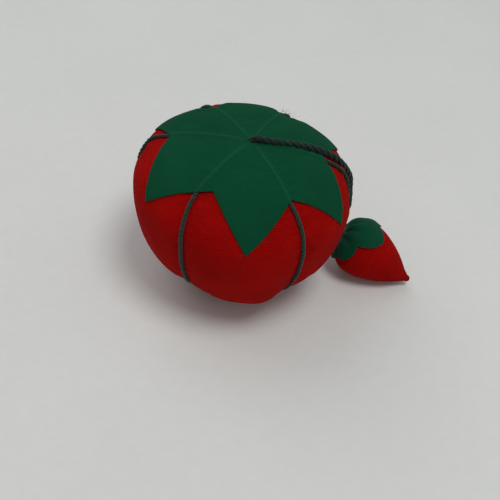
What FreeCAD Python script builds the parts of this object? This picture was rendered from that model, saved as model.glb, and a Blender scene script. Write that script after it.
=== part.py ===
# Tomato pin cushion with a strawberry emery hanging from it on a cord.
# Millimetres, +Z up.  Origin: on the tomato's own axis, in the plane it rests on.
# -Y is the front of the cushion; the strawberry lies at its right, towards +X.
import FreeCAD, Part
import math
import os

V = FreeCAD.Vector

# ---------------------------------------------------------------- driving dimensions
TOMATO_R = 36.0          # crest radius of the cushion at its widest height
Z_WIDEST = 38.5          # height of the widest circle above the table
DOME_H = 16.74           # from the widest circle up to the crown
BELLY_H = 40.46          # from the widest circle down to the unflattened lower pole
DOME_POWER_R, DOME_POWER_Z = 0.824, 1.004
BELLY_POWER_R, BELLY_POWER_Z = 0.917, 0.972
CORD_AZ = [-116.5, -53.1, 4.2, 70.0, 125.2, 178.6]   # where the six lacing cords run
GROOVE_W = 0.285         # angular half-width of a groove, radians
COVER_T = 0.45           # cotton cloth and its turned edge
FILL_GAP = 0.12
CORE_R = 2.6             # hole left by the gathers at both poles
CROWN_DIP, CROWN_DIP_R = 1.7, 4.6
BASE_DIP, BASE_DIP_R = 6.0, 5.0
LACE_R = 0.65            # lacing cord, 1.3 mm
LACE_GAP = 0.28          # lacing cord to cloth
CALYX_LIFT, CALYX_T = 0.88, 0.5
CALYX_HOLE_R = 1.45
CORD_R = 1.1             # hanging cord, 2.2 mm
THREAD_R = 0.15          # sewing thread
# strawberry
BERRY_R, BERRY_L = 10.15, 29.5
BERRY_BLUNT = 0.25       # share of the length taken by the blunt end
BERRY_AZ, BERRY_DIP = -10.2, 24.2
BERRY_T = 0.4
CAP_GAP, CAP_T = 0.15, 0.75
KNOT_R = 1.3
KNOT_AT_R, KNOT_AT_AZ = 36.493, 15.3736     # knot's distance from the tomato's axis, and azimuth
# hanging cord: points of its route, from the crown over the right shoulder and down
CORD_UP = [
    (0.00, 0.00, 56.10), (0.04, 0.00, 57.40), (0.95, 0.06, 58.50), (3.00, 0.20, 58.55),
    (6.82, 0.50, 58.05), (12.00, 1.37, 57.45), (16.89, 2.67, 56.65), (21.84, 4.05, 55.33),
    (26.67, 5.43, 53.36), (30.71, 6.64, 50.90), (34.22, 7.89, 47.60), (36.60, 9.11, 43.50),
    (37.50, 10.40, 39.00), (37.50, 10.40, 35.00),
]
# the stretch that hangs free below the shoulder, down to the knot
CORD_DOWN = [
    (37.50, 10.40, 34.96), (37.50, 10.40, 31.00), (36.70, 10.14, 25.80), (35.187, 9.675, 20.60),
]
CORD_DOWN_TO = 0.9       # the cord stops this far above the knot's centre


# ---------------------------------------------------------------- the tomato's surface
def crest(t, floor_it=False):
    """Radius and height of the lobes' crest at t, from the crown (0) to the base (pi)."""
    s, c = math.sin(t), math.cos(t)
    if t < math.pi / 2:
        r = TOMATO_R * max(s, 0.0) ** DOME_POWER_R
        z = Z_WIDEST + DOME_H * abs(c) ** DOME_POWER_Z
        z -= CROWN_DIP * math.exp(-(r / CROWN_DIP_R) ** 2)
    else:
        r = TOMATO_R * max(s, 0.0) ** BELLY_POWER_R
        z = Z_WIDEST - BELLY_H * abs(c) ** BELLY_POWER_Z
        if floor_it:
            z = max(z, 0.0)
        z += BASE_DIP * math.exp(-(r / BASE_DIP_R) ** 2)
    return r, z


def dome(t):
    """The crown without its dip, which the calyx spans."""
    s, c = math.sin(t), math.cos(t)
    return TOMATO_R * s ** DOME_POWER_R, Z_WIDEST + DOME_H * abs(c) ** DOME_POWER_Z


def normal(f, t, *a):
    h = 0.004
    r0, z0 = f(t - h, *a)
    r1, z1 = f(t + h, *a)
    dr, dz = r1 - r0, z1 - z0
    n = math.hypot(dr, dz) or 1.0
    return -dz / n, dr / n


def groove_depth(t):
    """How far the lacing pulls the cloth in below the crest."""
    pts = [(0.0, 0.45), (0.35, 0.85), (0.9, 0.75), (1.57, 0.8), (2.1, 1.6), (2.5, 2.9),
           (2.8, 4.2), (3.142, 4.2)]
    for (a, da), (b, db) in zip(pts, pts[1:]):
        if a <= t <= b:
            k = (t - a) / (b - a)
            k = k * k * (3 - 2 * k)
            return da + (db - da) * k
    return pts[-1][1]


def groove(az, t, r):
    d = min(abs((az - math.radians(c) + math.pi) % (2 * math.pi) - math.pi) for c in CORD_AZ)
    fade = min(max((r - CORE_R) / 2.2, 0.0), 1.0)
    w = GROOVE_W
    g = max(math.exp(-(d / w) ** 1.3) - 0.11, 0.0) / 0.89
    return groove_depth(t) * g * fade + shoulder_flat(az, t)


def shoulder_flat(az, t):
    """The right-hand lobe is a little flatter on both sides, where the hanging cord lies against it."""
    rise = min(max((t - 0.95) / 0.35, 0.0), 1.0)
    fall = min(max((t - 1.75) / 0.45, 0.0), 1.0)
    w = rise * rise * (3 - 2 * rise) * (1 - fall * fall * (3 - 2 * fall))
    out = 0.0
    for c in (10.0, 62.0):
        d = (az - math.radians(c) + math.pi) % (2 * math.pi) - math.pi
        out += math.exp(-(d / 0.35) ** 2)
    return 1.2 * out * w


def surface(az, t, inset, floor_it=False):
    """A point of the cushion, inset from the cloth's outer face."""
    r, z = crest(t, floor_it)
    nr, nz = normal(crest, t, floor_it)
    g = groove(az, t, r) + inset
    rr, zz = r - nr * g, z - nz * g
    return V(rr * math.cos(az), rr * math.sin(az), zz)


PER_LOBE = 12
T_TOP = math.asin((CORE_R / TOMATO_R) ** (1 / DOME_POWER_R))
T_BASE = math.pi - math.asin((CORE_R / TOMATO_R) ** (1 / BELLY_POWER_R))
N_T = 40


def azimuths():
    out = []
    for i in range(6):
        a, b = CORD_AZ[i], CORD_AZ[(i + 1) % 6]
        if b < a:
            b += 360
        out += [math.radians(a + (b - a) * k / PER_LOBE) for k in range(PER_LOBE)]
    return out


def rows():
    out = []
    for j in range(N_T):
        s = j / (N_T - 1)
        w = s - 0.62 * math.sin(2 * math.pi * s) / (2 * math.pi)
        out.append(T_TOP + (T_BASE - T_TOP) * w)
    return out


def spline_skin(poles):
    """A cubic surface, closed round the axis: poles[i][j], i round, j down."""
    nu, nv = len(poles), len(poles[0])
    s = Part.BSplineSurface()
    s.buildFromPolesMultsKnots(
        poles, [1] * (nu + 1), [4] + [1] * (nv - 4) + [4],
        [float(i) for i in range(nu + 1)], [float(i) for i in range(nv - 2)],
        True, False, 3, 3)
    return s.toShape()


def ends(face):
    """The two closed edges of such a skin, first row and last row."""
    closed = [e for e in face.Edges if e.isClosed() or e.Vertexes[0].Point.distanceToPoint(e.Vertexes[-1].Point) < 1e-6]
    closed = sorted(closed, key=lambda e: e.BoundBox.Center.z)
    return closed[-1], closed[0]


def solid_from(faces):
    shell = Part.Shell(faces)
    shell.sewShape()
    s = Part.Solid(shell)
    if s.Volume < 0:
        s.reverse()
    if not s.isValid():
        s.fix(1e-4, 1e-4, 1e-3)
    return s


def skin(inset, floor_it=False):
    az, ts = azimuths(), rows()
    return spline_skin([[surface(a, t, inset, floor_it) for t in ts] for a in az])


def save(name, shape):
    print("%-26s volume %9.2f mm3  valid %s  solids %d  closed %s" % (
        name, shape.Volume, shape.isValid(), len(shape.Solids), all(s.isClosed() for s in shape.Solids)))
    shape.exportStep("parts/%s.step" % name)


# ---------------------------------------------------------------- round cord along runs and arcs
def route(points, name):
    """Straight runs joined by tangent arcs through the corners of the route."""
    p = [V(*q) for q in points]
    edges, here, radii = [], p[0], []
    for i in range(1, len(p) - 1):
        a, b = p[i] - p[i - 1], p[i + 1] - p[i]
        turn = a.getAngle(b)
        short = min(a.Length, b.Length)
        rad = 0.45 * short / math.tan(turn / 2)
        cut = 0.45 * short
        a0 = p[i] - V(a).normalize() * cut
        b0 = p[i] + V(b).normalize() * cut
        bis = (V(b).normalize() - V(a).normalize()).normalize()
        centre = p[i] + bis * math.hypot(rad, cut)
        mid = centre - bis * rad
        edges.append(Part.LineSegment(here, a0).toShape())
        edges.append(Part.Arc(a0, mid, b0).toShape())
        here = b0
        radii.append(round(rad, 1))
    edges.append(Part.LineSegment(here, p[-1]).toShape())
    w = Part.Wire(edges)
    print("%-26s length %.1f  arc radii %s" % (name, w.Length, radii))
    return w


def tube(points, radius, name):
    w = route(points, name)
    d = (V(*points[1]) - V(*points[0])).normalize()
    ring = Part.Wire(Part.makeCircle(radius, V(*points[0]), d))
    s = w.makePipeShell([ring], True, False)
    s = s if s.ShapeType == "Solid" else Part.Solid(Part.Shell(s.Faces))
    want = math.pi * radius ** 2 * w.Length
    print("%-26s volume %.2f, section x length %.2f" % (name, s.Volume, want))
    return s


# ---------------------------------------------------------------- the cushion
def tomato_cover():
    outer, inner = skin(0.0), skin(COVER_T, True)
    (ot, ob), (it, ib) = ends(outer), ends(inner)
    s = solid_from([outer, inner, Part.makeRuledSurface(ot, it), Part.makeRuledSurface(ob, ib)])
    below = Part.makeBox(200, 200, 20, V(-100, -100, -20))
    return s.cut(below)


def tomato_filling():
    f = skin(COVER_T + FILL_GAP, True)
    t, b = ends(f)
    return solid_from([f, Part.makeRuledSurface(t, b)])


def at_radius(r_want, t0, t1):
    """The t at which the crest has this radius, between t0 and t1."""
    r0 = crest(t0)[0]
    for _ in range(60):
        m = (t0 + t1) / 2
        if (crest(m)[0] - r_want) * (r0 - r_want) > 0:
            t0 = m
        else:
            t1 = m
    return (t0 + t1) / 2


def lace_points(az):
    """One run of the lacing, from the crown to the base, along the bottom of its groove."""
    pts = []
    off = -(LACE_R + LACE_GAP)
    a = math.radians(az)
    first, last = 2.05, 2.32
    ts, t = [], 0.10
    while t < math.pi - 0.17:
        ts.append(t)
        r, z = crest(t)
        step = 6.2 if t < 2.2 else 4.6
        # advance by arc length
        moved = 0.0
        while moved < step and t < math.pi - 0.05:
            r0, z0 = crest(t)
            t += 0.01
            r1, z1 = crest(t)
            moved += math.hypot(r1 - r0, z1 - z0)
    out = []
    for t in ts:
        q = surface(a, t, off - 0.08 * groove_depth(t) - 0.12 * shoulder_flat(a, t))
        out.append((math.hypot(q.x, q.y), q.z))
    out = [q for q in out if q[0] > first + 1.6 or q[1] < 30]
    out = [q for q in out if q[0] > last + 3.0 or q[1] > 30]
    top = surface(a, T_TOP, off)
    out = [(first, out[0][1] - 0.6)] + out + [(last, 1.45)]
    return [(r * math.cos(a), r * math.sin(a), z) for r, z in out]


def lace_core(low, high):
    rods = []
    for k in range(6):
        a = math.radians(k * 60 + 4.2)
        rods.append(Part.makeCylinder(0.58, high - low, V(1.22 * math.cos(a), 1.22 * math.sin(a), low)))
    return Part.makeCompound(rods)


def squashed_ball(radius, height, centre):
    s = Part.makeSphere(radius)
    m = FreeCAD.Matrix()
    m.scale(1, 1, height / (2 * radius))
    s = s.transformGeometry(m)
    s.translate(centre)
    return s


def thread_ring(radius, z):
    return Part.makeTorus(radius, THREAD_R, V(0, 0, z))


def thread_stitches(radius, z, clear):
    """The same ring where only its stitches between the lacing cords are left."""
    out = []
    for i in range(6):
        a, b = CORD_AZ[i], CORD_AZ[(i + 1) % 6]
        if b < a:
            b += 360
        s = Part.makeTorus(radius, THREAD_R, V(0, 0, 0), V(0, 0, 1), 0, 360, b - a - 2 * clear)
        s.rotate(V(0, 0, 0), V(0, 0, 1), a + clear)
        s.translate(V(0, 0, z))
        out.append(s)
    return Part.makeCompound(out)


# ---------------------------------------------------------------- the calyx
# six tips and six notches, as azimuth and how far down the dome they reach (t)
CALYX = [(-141.8, 1.33), (-109.4, 0.66), (-82.8, 1.43), (-53.6, 0.70), (-27.3, 1.36), (8.2, 0.63),
         (35.0, 1.38), (66.0, 0.66), (95.0, 1.38), (126.0, 0.66), (156.0, 1.38), (177.0, 0.71)]


def calyx():
    ts = [0.03 + (1.56 - 0.03) * (j / 22.0) ** 0.9 for j in range(23)]
    hole = CALYX_HOLE_R

    def layer(off):
        poles = []
        for k in range(48):
            a = 2 * math.pi * k / 48
            col = []
            for t in ts:
                r, z = dome(t)
                nr, nz = normal(dome, t)
                r, z = r + nr * off, z + nz * off
                col.append(V(r * math.cos(a), r * math.sin(a), z))
            poles.append(col)
        return spline_skin(poles)

    up, low = layer(CALYX_LIFT + CALYX_T), layer(CALYX_LIFT)
    (ut, ub), (lt, lb) = ends(up), ends(low)
    body = solid_from([up, low, Part.makeRuledSurface(ut, lt), Part.makeRuledSurface(ub, lb)])
    apex, top = V(0, 0, Z_WIDEST - 14), V(0, 0, Z_WIDEST + 60)
    pts = []
    for az, t in CALYX:
        r, z = dome(t)
        nr, nz = normal(dome, t)
        r, z = r + nr * CALYX_LIFT, z + nz * CALYX_LIFT
        a = math.radians(az)
        q = V(r * math.cos(a), r * math.sin(a), z)
        pts.append(apex + (q - apex) * 1.5)
    faces = []
    for i in range(12):
        a, b = pts[i], pts[(i + 1) % 12]
        for c in (apex, top):
            faces.append(Part.Face(Part.makePolygon([c, a, b, c])))
    star = solid_from(faces)
    out = body.common(star).cut(Part.makeCylinder(hole, 80, V(0, 0, 20)))
    return out


# ---------------------------------------------------------------- the strawberry
def berry_profile(s):
    """Radius at the share s of the length, from the blunt end to the tip."""
    s0 = BERRY_BLUNT
    if s < s0:
        return BERRY_R * math.sqrt(max(1 - ((s0 - s) / s0) ** 2, 0.0)) ** 0.9
    u = (s - s0) / (1 - s0)
    return BERRY_R * max(1 - u ** 1.89, 0.0) ** 0.93


DIP, BAZ = math.radians(BERRY_DIP), math.radians(BERRY_AZ)
AXIS = V(math.cos(BAZ) * math.cos(DIP), math.sin(BAZ) * math.cos(DIP), -math.sin(DIP))
LOW = min(-math.sin(DIP) * BERRY_L * k / 200.0 - math.cos(DIP) * berry_profile(k / 200.0) for k in range(201))
POLE_Z = -LOW + 0.04                       # blunt pole's height with the belly on the table
KNOT = V(KNOT_AT_R * math.cos(math.radians(KNOT_AT_AZ)), KNOT_AT_R * math.sin(math.radians(KNOT_AT_AZ)), 0)
SET_BACK = KNOT_R + 0.12 + CAP_T + CAP_GAP
POLE = KNOT + AXIS * SET_BACK
KNOT.z = POLE_Z + SET_BACK * math.sin(DIP)
POLE = KNOT + AXIS * SET_BACK


def onto_axis(shape):
    """Carry a shape made along +Z from the origin onto the strawberry's axis."""
    s = shape.copy()
    rot = FreeCAD.Rotation(V(0, 0, 1), AXIS)
    s.Placement = FreeCAD.Placement(POLE, rot)
    # bake the placement into the geometry
    return s


def turned(profile):
    """A solid of revolution about Z from (radius, height) points that start and end on the axis."""
    pts = [V(r, 0, z) for r, z in profile]
    c = Part.BSplineCurve()
    c.interpolate(pts)
    e = c.toShape()
    line = Part.LineSegment(pts[-1], pts[0]).toShape()
    return Part.Face(Part.Wire([e, line])).revolve(V(0, 0, 0), V(0, 0, 1), 360)


def berry_points(inset, n=26):
    out = []
    for k in range(n + 1):
        w = k / n
        s = 0.5 - 0.5 * math.cos(math.pi * w)
        out.append([berry_profile(s), BERRY_L * s])
    pts = []
    for k, (r, z) in enumerate(out):
        if k == 0:
            pts.append((0.0, z + inset))
            continue
        if k == n:
            pts.append((0.0, z - inset * 1.9))
            continue
        dr, dz = out[k + 1][0] - out[k - 1][0], out[k + 1][1] - out[k - 1][1]
        h = math.hypot(dr, dz)
        r2, z2 = r - inset * dz / h, z + inset * dr / h
        if r2 > 0.25:
            pts.append((r2, z2))
    return pts


def berry_cover():
    outer, inner = turned(berry_points(0.0)), turned(berry_points(BERRY_T))
    hole = Part.makeCylinder(0.9, 3, V(0, 0, -1))
    return outer.cut(inner).cut(hole)


def berry_filling():
    return turned(berry_points(BERRY_T + 0.1))


# the cap's five uneven petals: middle and half-width (degrees round the axis, 0 is uppermost), and reach
PETALS = [(-14, 40, 17.7), (34, 32, 16.0), (98, 34, 13.5), (168, 34, 12.0), (-72, 38, 11.4)]
PETAL_NOTCH = 8.5


def cap_edge(phi):
    """How far from the blunt pole the cap reaches, along the cloth, at phi round the shape's own Z axis."""
    top = BERRY_AZ + 180.0 - math.degrees(phi)
    out = PETAL_NOTCH
    for middle, half, reach in PETALS:
        d = abs((top - middle + 180.0) % 360.0 - 180.0)
        if d < half:
            out = max(out, PETAL_NOTCH + (reach - PETAL_NOTCH) * (1 - (d / half) ** 2) ** 0.7)
    return out


def berry_arc():
    """(arc length, radius, height, outward normal) along the strawberry's cloth."""
    out, length, last = [], 0.0, None
    for k in range(0, 400):
        s = (k / 400.0) ** 1.5 * 0.75
        r, z = berry_profile(s), BERRY_L * s
        if last:
            length += math.hypot(r - last[0], z - last[1])
        out.append((length, r, z))
        last = (r, z)
    return out


def cap():
    arc = berry_arc()

    def at(length, off):
        for (l0, r0, z0), (l1, r1, z1) in zip(arc, arc[1:]):
            if l0 <= length <= l1:
                k = (length - l0) / (l1 - l0)
                h = math.hypot(r1 - r0, z1 - z0)
                nr, nz = (z1 - z0) / h, -(r1 - r0) / h
                return r0 + (r1 - r0) * k + nr * off, z0 + (z1 - z0) * k + nz * off

    nu, nv = 96, 12

    def layer(off):
        poles = []
        for i in range(nu):
            phi = 2 * math.pi * i / nu
            e = cap_edge(phi)
            col = []
            for j in range(nv):
                l = 1.25 + (e - 1.25) * j / (nv - 1)
                r, z = at(l, off)
                col.append(V(r * math.cos(phi), r * math.sin(phi), z))
            poles.append(col)
        return spline_skin(poles)

    up, low = layer(CAP_GAP + CAP_T), layer(CAP_GAP)

    def two(face):
        closed = [e for e in face.Edges if e.Vertexes[0].Point.distanceToPoint(e.Vertexes[-1].Point) < 1e-6]
        return sorted(closed, key=lambda e: e.Length)
    a, b = two(up), two(low)
    return solid_from([up, low, Part.makeRuledSurface(a[0], b[0]), Part.makeRuledSurface(a[-1], b[-1])])


def main():
    os.makedirs("parts", exist_ok=True)
    save("tomato_cover", tomato_cover())
    save("tomato_filling", tomato_filling())
    names = ["front_left", "front_right", "right", "back_right", "back_left", "left"]
    for n, az in zip(names, CORD_AZ):
        save("segment_cord_" + n, tube(lace_points(az), LACE_R, "segment_cord_" + n))
    r_top, z_top = crest(T_TOP)
    r_base, z_base = crest(T_BASE)
    save("segment_cord_core", lace_core(2.6, z_top + 0.4))
    save("lacing_knot", squashed_ball(2.2, 2.3, V(0, 0, 1.35)))
    ring = CORE_R + 1.1
    top_z = crest(at_radius(ring, T_TOP, 1.0))[1]
    base_z = crest(at_radius(ring, 2.2, T_BASE))[1]
    save("cover_gather_top", thread_ring(ring, top_z - 0.24))
    save("cover_gather_bottom", thread_stitches(ring, base_z + 0.3, 17.0))
    seam = []
    a = math.radians(150.0)
    for k in range(10):
        q = surface(a, 0.45 + 2.15 * k / 9.0, COVER_T / 2)
        seam.append((q.x, q.y, q.z))
    save("cover_seam_thread", tube(seam, THREAD_R, "cover_seam_thread"))
    save("calyx", calyx())
    save("hanging_cord_anchor", squashed_ball(1.45, 1.5, V(0, 0, CORD_UP[0][2] - 0.8)))
    save("hanging_cord_upper", tube(CORD_UP, CORD_R, "hanging_cord_upper"))
    down = CORD_DOWN + [(KNOT.x, KNOT.y, KNOT.z + CORD_DOWN_TO + 0.04)]
    print("knot", KNOT, "pole", POLE, "axis", AXIS, "down", down)
    save("hanging_cord_lower", tube(down, CORD_R, "hanging_cord_lower"))
    knot = Part.makeSphere(KNOT_R, KNOT).cut(Part.makeBox(6, 6, 6, V(KNOT.x - 3, KNOT.y - 3, KNOT.z + CORD_DOWN_TO)))
    save("strawberry_knot", knot)
    save("strawberry_cover", onto_axis(berry_cover()))
    save("strawberry_filling", onto_axis(berry_filling()))
    low = min(range(400), key=lambda k: abs(berry_profile(k / 1600.0) - 2.6)) / 1600.0 * BERRY_L
    ring = Part.makeTorus(2.6, THREAD_R, V(0, 0, low + 0.22))
    save("strawberry_gather_thread", onto_axis(ring))
    pts = []
    for k in range(7):
        s = 0.3 + 0.6 * k / 6.0
        pts.append((berry_profile(s) - BERRY_T / 2, 0.0, BERRY_L * s))
    th = tube(pts, THREAD_R, "strawberry_seam_thread")
    th.rotate(V(0, 0, 0), V(0, 0, 1), 200)
    save("strawberry_seam_thread", onto_axis(th))
    save("strawberry_cap", onto_axis(cap()))


main()
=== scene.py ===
import math

import bpy
import numpy as np
from mathutils import Matrix, Vector


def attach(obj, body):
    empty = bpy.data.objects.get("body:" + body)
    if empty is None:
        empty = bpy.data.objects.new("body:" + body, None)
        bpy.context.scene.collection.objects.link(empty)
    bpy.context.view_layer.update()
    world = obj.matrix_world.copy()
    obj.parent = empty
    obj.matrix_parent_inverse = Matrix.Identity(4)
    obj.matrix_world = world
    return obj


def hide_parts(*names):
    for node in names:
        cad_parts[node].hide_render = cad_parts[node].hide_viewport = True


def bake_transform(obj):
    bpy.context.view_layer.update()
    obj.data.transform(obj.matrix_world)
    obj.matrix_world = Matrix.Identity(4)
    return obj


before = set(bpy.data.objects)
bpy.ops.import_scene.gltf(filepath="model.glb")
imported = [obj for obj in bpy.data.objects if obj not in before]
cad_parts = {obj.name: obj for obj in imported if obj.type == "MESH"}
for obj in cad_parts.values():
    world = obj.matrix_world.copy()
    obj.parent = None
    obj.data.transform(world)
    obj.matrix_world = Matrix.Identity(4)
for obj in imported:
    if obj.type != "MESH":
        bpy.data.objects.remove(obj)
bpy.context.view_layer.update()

scene = bpy.context.scene
scene.view_settings.view_transform = "Standard"
scene.view_settings.look = "None"
MM = 0.001
PI = math.pi

# ------------------------------------------------------------------ camera
cam_data = bpy.data.cameras.new("camera")
cam_data.lens = 50.4
cam_data.sensor_width = 36.0
cam_data.clip_start, cam_data.clip_end = 0.01, 20.0
camera = bpy.data.objects.new("camera", cam_data)
scene.collection.objects.link(camera)
cx, cy, cz = (0.9858, 0.1182, 0.1190), (-0.1677, 0.6947, 0.6995), (0.0, -0.7095, 0.7047)
at = (0.0054, -0.17692, 0.18421)
camera.matrix_world = Matrix((
    (cx[0], cy[0], cz[0], at[0]), (cx[1], cy[1], cz[1], at[1]),
    (cx[2], cy[2], cz[2], at[2]), (0, 0, 0, 1)))
scene.camera = camera


# ------------------------------------------------------------------ helpers
def link(ob):
    scene.collection.objects.link(ob)
    return ob


def mesh_object(name, verts, faces, uvs=None, smooth=True, mats=(), face_mats=None):
    """verts in metres; uvs is one (u, v) pair per face corner."""
    me = bpy.data.meshes.new(name)
    me.from_pydata([tuple(v) for v in verts], [], [tuple(int(i) for i in f) for f in faces])
    if uvs is not None:
        layer = me.uv_layers.new(name="Weave")
        layer.data.foreach_set("uv", np.asarray(uvs, np.float32).ravel())
    for m in mats:
        me.materials.append(m)
    if face_mats is not None:
        me.polygons.foreach_set("material_index", np.asarray(face_mats, np.int32))
    me.polygons.foreach_set("use_smooth", np.full(len(me.polygons), bool(smooth)))
    me.validate()
    me.update()
    return link(bpy.data.objects.new(name, me))


def value_noise(p, seed):
    """Smooth noise in -1..1 at the points p (n, 3), the same on every run."""
    p = np.asarray(p, float)
    i = np.floor(p).astype(np.int64)
    f = p - i
    f = f * f * f * (f * (f * 6 - 15) + 10)

    def h(a, b, c):
        n = (a * 73856093) ^ (b * 19349663) ^ (c * 83492791) ^ (seed * 2654435761)
        n = (n ^ (n >> 13)) * 1274126177 & 0x7FFFFFFF
        n = (n ^ (n >> 16)) & 0xFFFF
        return n / 32767.5 - 1.0

    out = 0
    for dx in (0, 1):
        for dy in (0, 1):
            for dz in (0, 1):
                w = ((f[:, 0] if dx else 1 - f[:, 0]) * (f[:, 1] if dy else 1 - f[:, 1])
                     * (f[:, 2] if dz else 1 - f[:, 2]))
                out = out + w * h(i[:, 0] + dx, i[:, 1] + dy, i[:, 2] + dz)
    return out


def unit(v):
    return v / np.maximum(np.linalg.norm(v, axis=-1, keepdims=True), 1e-12)


def smoothstep(a, b, x):
    k = np.clip((x - a) / (b - a), 0, 1)
    return k * k * (3 - 2 * k)


# ------------------------------------------------------------------ cords
def spline_points(points, name):
    """The line that a NURBS spline with these control points runs along."""
    cu = bpy.data.curves.new(name, "CURVE")
    cu.dimensions = "3D"
    sp = cu.splines.new("NURBS")
    sp.points.add(len(points) - 1)
    for q, p in zip(sp.points, points):
        q.co = (p[0] * MM, p[1] * MM, p[2] * MM, 1.0)
    sp.order_u = 3
    sp.use_endpoint_u = True
    cu.resolution_u = 16
    ob = link(bpy.data.objects.new(name, cu))
    bpy.context.view_layer.update()
    me = bpy.data.meshes.new_from_object(ob)
    pts = np.array([v.co for v in me.vertices], float)
    bpy.data.objects.remove(ob)
    bpy.data.curves.remove(cu)
    bpy.data.meshes.remove(me)
    keep = np.concatenate([[True], np.linalg.norm(np.diff(pts, axis=0), axis=1) > 1e-7])
    return pts[keep]


def evenly(pts, step):
    s = np.concatenate([[0], np.cumsum(np.linalg.norm(np.diff(pts, axis=0), axis=1))])
    n = max(int(round(s[-1] / step)), 4)
    q = np.linspace(0, s[-1], n + 1)
    return np.stack([np.interp(q, s, pts[:, k]) for k in range(3)], -1), q


def rolling_frames(pts, first):
    t = unit(np.gradient(pts, axis=0))
    n = np.zeros_like(pts)
    v = np.asarray(first, float)
    for i in range(len(pts)):
        v = v - t[i] * (v @ t[i])
        v = v / np.linalg.norm(v)
        n[i] = v
    return t, n, np.cross(t, n)


def tube_faces(nr, ns, base):
    """Quads of a tube with nr rings of ns points each, starting at vertex base."""
    i, j = np.meshgrid(np.arange(nr - 1), np.arange(ns), indexing="ij")
    j2 = (j + 1) % ns
    f = np.stack([i * ns + j, i * ns + j2, (i + 1) * ns + j2, (i + 1) * ns + j], -1) + base
    return f.reshape(-1, 4), i.ravel(), j.ravel()


def rope(name, line, radius, plies, pitch, mats, first=(0, 1, 0), step=0.00022, ring=10,
         squash_to=None, taper=(0.0, 0.0), seed=1, phase=0.0, ply_share=None, unlay=0.0):
    """A laid cord: plies strands wound round the line. squash_to(points) may move points out of a surface."""
    pts, s = evenly(line, step)
    t, n, b = rolling_frames(pts, first)
    share = ply_share or {2: 0.54, 3: 0.50}[plies]
    rs0 = radius * share
    h0 = radius - rs0
    verts, faces, uvs = [], [], []
    count = 0
    ends_at = np.ones(len(s))
    if taper[0] > 0:
        ends_at *= np.sqrt(np.clip(s / taper[0], 0.02, 1))
    if taper[1] > 0:
        ends_at *= np.sqrt(np.clip((s[-1] - s) / taper[1], 0.02, 1))
    for k in range(plies):
        wob = value_noise(np.stack([s / 0.004, np.full_like(s, k * 3.1), np.full_like(s, seed)], -1), seed)
        wob2 = value_noise(np.stack([s / 0.0013, np.full_like(s, k * 7.7), np.full_like(s, seed)], -1), seed + 5)
        th = phase + 2 * PI * k / plies + 2 * PI * s / pitch + 0.25 * wob
        rad = np.cos(th)[:, None] * n + np.sin(th)[:, None] * b
        h = h0 * (1 + 0.10 * wob) * (0.35 + 0.65 * ends_at)
        h = h * (1 + unlay * np.exp(-s / 0.0008))
        c = pts + rad * h[:, None]
        ct = unit(np.gradient(c, axis=0))
        e1 = unit(rad - ct * (rad * ct).sum(-1, keepdims=True))
        e2 = np.cross(ct, e1)
        rs = rs0 * (1 + 0.05 * wob2) * ends_at
        ph = np.linspace(0, 2 * PI, ring, endpoint=False)
        p = (c[:, None, :] + rs[:, None, None] * (np.cos(ph)[None, :, None] * e1[:, None, :]
                                                  + np.sin(ph)[None, :, None] * e2[:, None, :]))
        verts.append(p.reshape(-1, 3))
        f, fi, fj = tube_faces(len(s), ring, count)
        # u goes round the strand with its own twist, v along it, in strand diameters
        v0, v1 = s[fi] / (2 * rs0), s[fi + 1] / (2 * rs0)
        u0, u1 = fj / ring, (fj + 1) / ring
        uvs.append(np.stack([np.stack([u0, v0], -1), np.stack([u1, v0], -1),
                             np.stack([u1, v1], -1), np.stack([u0, v1], -1)], 1).reshape(-1, 2) + [k * 1.0, 0])
        faces += f.tolist()
        for at_end, ringstart in ((0, count), (1, count + (len(s) - 1) * ring)):
            cap = [ringstart + q for q in range(ring)]
            faces.append(cap[::-1] if at_end == 0 else cap)
            uvs.append(np.full((ring, 2), 0.5))
        count += len(s) * ring
    v = np.concatenate(verts)
    if squash_to is not None:
        v = squash_to(v)
    ob = mesh_object(name, v, faces, np.concatenate(uvs), True, mats)
    return ob, pts


# the hanging cord comes first: the same route as the design's, lowered onto the calyx
CORD_ROUTE = [
    (0.20, 0.02, 54.60), (0.30, 0.03, 55.80), (1.35, 0.00, 56.80), (3.90, 0.20, 56.62),
    (7.66, 0.40, 56.36), (11.39, 1.25, 56.00), (15.19, 2.13, 55.46), (19.08, 3.09, 54.60),
    (23.00, 4.10, 53.30), (26.50, 5.00, 51.45), (29.00, 5.75, 49.35), (31.05, 6.55, 47.00),
    (32.80, 7.55, 44.30), (34.00, 8.50, 41.80), (34.70, 9.15, 38.90), (35.25, 9.35, 35.60),
    (35.90, 9.50, 32.20), (36.38, 9.62, 28.80), (36.20, 9.66, 25.60), (35.48, 9.68, 22.60),
    (35.19, 9.675, 19.60), (35.19, 9.675, 15.70),
]
CORD_D = 0.0022
cord_line = spline_points(CORD_ROUTE, "cord_route")


# ------------------------------------------------------------------ material nodes
def new_material(name):
    m = bpy.data.materials.new(name)
    m.use_nodes = True
    nt = m.node_tree
    for n in list(nt.nodes):
        nt.nodes.remove(n)
    out = nt.nodes.new("ShaderNodeOutputMaterial")
    bsdf = nt.nodes.new("ShaderNodeBsdfPrincipled")
    nt.links.new(bsdf.outputs["BSDF"], out.inputs["Surface"])
    return m, nt, bsdf


def math_node(nt, op, a, b=None, clamp=False):
    n = nt.nodes.new("ShaderNodeMath")
    n.operation = op
    n.use_clamp = clamp
    for i, x in enumerate((a, b)):
        if x is None:
            continue
        if isinstance(x, (int, float)):
            n.inputs[i].default_value = x
        else:
            nt.links.new(x, n.inputs[i])
    return n.outputs[0]


def noise_node(nt, vector, scale, detail=3.0, rough=0.55):
    n = nt.nodes.new("ShaderNodeTexNoise")
    n.inputs["Scale"].default_value = scale
    n.inputs["Detail"].default_value = detail
    n.inputs["Roughness"].default_value = rough
    nt.links.new(vector, n.inputs["Vector"])
    return n.outputs["Fac"]


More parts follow.
